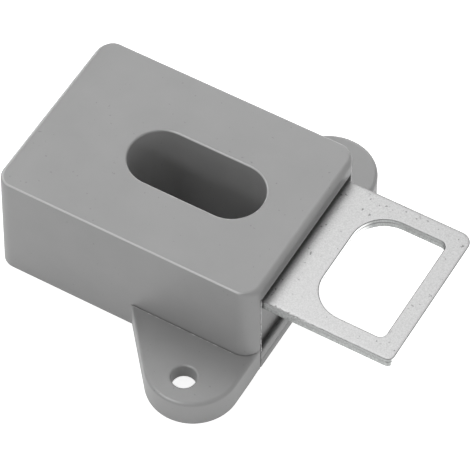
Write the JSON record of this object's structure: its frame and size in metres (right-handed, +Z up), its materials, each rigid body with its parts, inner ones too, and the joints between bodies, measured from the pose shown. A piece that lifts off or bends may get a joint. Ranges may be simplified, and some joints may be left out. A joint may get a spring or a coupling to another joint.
{
  "type": "cabinet lock strike unit",
  "caption": "Screw-on cabinet lock strike: moulded housing with two ears and a deep slotted screw well, and a sprung steel plate with a bolt window that slides in from the open end.",
  "frame": {"origin": "midway between the two ear screw holes, on the underside that is screwed to the furniture", "axes": "+X the way the strike plate reaches out of the housing, +Y towards one ear, +Z up out of the mounting surface"},
  "size_m": [0.0519, 0.0444, 0.0159],
  "materials": {
    "grey_abs": "injection moulded, fine satin texture",
    "nickel_steel": "stamped sheet, dull nickel plating",
    "black_pom": "moulded, slippery satin",
    "ground_steel": "ground pin",
    "screw_steel": "zinc-plated screw",
    "spring_steel": "drawn spring wire",
    "bumper_rubber": "moulded rubber",
    "magnet_nickel": "bright nickel plating"
  },
  "bodies": {
    "housing": {"housing": "grey_abs", "front_guide": "grey_abs", "bottom_cover": "grey_abs", "cover_screws": "screw_steel", "guide_pin_left": "ground_steel", "guide_pin_right": "ground_steel", "return_spring_left": "spring_steel", "return_spring_right": "spring_steel", "stop_bumper_left": "bumper_rubber", "stop_bumper_right": "bumper_rubber", "sensor_magnet": "magnet_nickel"},
    "strike": {"strike_plate": "nickel_steel", "runner_left": "black_pom", "runner_right": "black_pom", "plate_screws": "screw_steel"}
  },
  "joints": [
    {"name": "plate_slide", "type": "slide", "parent": "housing", "child": "strike", "axis": [-1, 0, 0], "range_m": [0, 0.0035], "stiffness_N_per_m": 1000, "springref_m": -0.0025, "deforming": ["return_spring_left", "return_spring_right"]}
  ]
}
